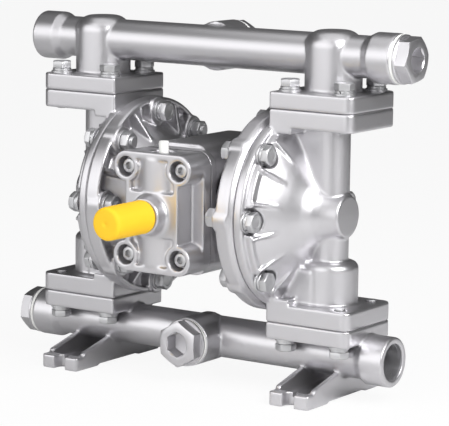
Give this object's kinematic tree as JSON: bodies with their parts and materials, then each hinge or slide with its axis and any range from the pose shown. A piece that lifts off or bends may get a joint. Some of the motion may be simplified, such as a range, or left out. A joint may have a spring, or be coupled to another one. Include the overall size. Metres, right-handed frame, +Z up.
{
  "type": "air operated diaphragm pump",
  "caption": "Air operated double diaphragm pump: two flanged manifolds, two domed chambers, a centre body with an air valve and a capped air inlet, on open slotted feet.",
  "frame": {"origin": "on the floor, midway between the four foot slots, under the middle of the pipes", "axes": "+X along the pipes towards the open suction port, +Y to the rear, away from the capped air inlet, +Z up"},
  "size_m": [0.338, 0.228, 0.2625],
  "materials": {
    "cast_aluminium": "bead blasted, satin",
    "zinc_plated_steel": "bright zinc",
    "black_rubber": "matte",
    "white_plastic": "matte",
    "bronze": "turned bronze",
    "brass": "turned brass",
    "yellow_plastic": "soft satin polyethylene",
    "dark_plastic": "matte"
  },
  "bodies": {
    "housing": {"upper_manifold": "cast_aluminium", "lower_manifold": "cast_aluminium", "left_liquid_chamber": "cast_aluminium", "right_liquid_chamber": "cast_aluminium", "left_air_chamber": "cast_aluminium", "right_air_chamber": "cast_aluminium", "center_body": "cast_aluminium", "valve_body": "cast_aluminium", "upper_end_plug": "cast_aluminium", "lower_end_plug": "cast_aluminium", "upper_rear_plug": "cast_aluminium", "lower_front_plug": "cast_aluminium", "flange_bolts": "zinc_plated_steel", "spring_washers": "zinc_plated_steel", "flat_washers": "zinc_plated_steel", "chamber_bolts": "zinc_plated_steel", "chamber_nuts": "zinc_plated_steel", "chamber_screws": "zinc_plated_steel", "valve_screws": "zinc_plated_steel", "hub_screws": "zinc_plated_steel", "left_pilot_spring": "zinc_plated_steel", "right_pilot_spring": "zinc_plated_steel", "valve_sleeve": "zinc_plated_steel", "retaining_rings": "zinc_plated_steel", "upper_end_cover": "zinc_plated_steel", "lower_end_cover": "zinc_plated_steel", "left_diaphragm": "black_rubber", "right_diaphragm": "black_rubber", "left_rod_seal": "black_rubber", "right_rod_seal": "black_rubber", "seat_o_rings": "black_rubber", "left_chamber_gasket": "black_rubber", "right_chamber_gasket": "black_rubber", "valve_gasket": "black_rubber", "upper_left_seat": "white_plastic", "upper_right_seat": "white_plastic", "lower_left_seat": "white_plastic", "lower_right_seat": "white_plastic", "plug_washers": "white_plastic", "left_rod_bush": "bronze", "right_rod_bush": "bronze", "inlet_nipple": "brass", "muffler": "dark_plastic"},
    "diaphragm_rod": {"center_rod": "zinc_plated_steel", "left_inner_disc": "zinc_plated_steel", "right_inner_disc": "zinc_plated_steel", "left_outer_disc": "zinc_plated_steel", "right_outer_disc": "zinc_plated_steel"},
    "upper_left_valve_ball": {"upper_left_ball": "white_plastic"},
    "upper_right_valve_ball": {"upper_right_ball": "white_plastic"},
    "lower_left_valve_ball": {"lower_left_ball": "white_plastic"},
    "lower_right_valve_ball": {"lower_right_ball": "white_plastic"},
    "spool": {"valve_spool": "zinc_plated_steel"},
    "reset": {"reset_button": "white_plastic"},
    "left_pilot": {"left_pilot_pin": "zinc_plated_steel"},
    "right_pilot": {"right_pilot_pin": "zinc_plated_steel"},
    "cap": {"inlet_cap": "yellow_plastic"}
  },
  "joints": [
    {"name": "rod_slide", "type": "slide", "parent": "housing", "child": "diaphragm_rod", "axis": [1, 0, 0], "range_m": [-0.008, 0.008], "deforming": ["left_diaphragm", "right_diaphragm"]},
    {"name": "upper_left_ball_lift", "type": "slide", "parent": "housing", "child": "upper_left_valve_ball", "axis": [0, 0, 1], "range_m": [0, 0.006]},
    {"name": "upper_right_ball_lift", "type": "slide", "parent": "housing", "child": "upper_right_valve_ball", "axis": [0, 0, 1], "range_m": [0, 0.006]},
    {"name": "lower_left_ball_lift", "type": "slide", "parent": "housing", "child": "lower_left_valve_ball", "axis": [0, 0, 1], "range_m": [0, 0.006]},
    {"name": "lower_right_ball_lift", "type": "slide", "parent": "housing", "child": "lower_right_valve_ball", "axis": [0, 0, 1], "range_m": [0, 0.006]},
    {"name": "spool_shift", "type": "slide", "parent": "housing", "child": "spool", "axis": [0, 0, 1], "range_m": [0, 0.01]},
    {"name": "reset_push", "type": "slide", "parent": "housing", "child": "reset", "axis": [0, 0, -1], "range_m": [0, 0.003], "stiffness_N_per_m": 500, "springref_m": -0.003},
    {"name": "left_pilot_push", "type": "slide", "parent": "housing", "child": "left_pilot", "axis": [1, 0, 0], "range_m": [0, 0.002], "stiffness_N_per_m": 500, "springref_m": -0.002, "deforming": ["left_pilot_spring"]},
    {"name": "right_pilot_push", "type": "slide", "parent": "housing", "child": "right_pilot", "axis": [-1, 0, 0], "range_m": [0, 0.002], "stiffness_N_per_m": 500, "springref_m": -0.002, "deforming": ["right_pilot_spring"]},
    {"name": "cap_pull", "type": "slide", "parent": "housing", "child": "cap", "axis": [0, -1, 0], "range_m": [0, 0.045]}
  ]
}
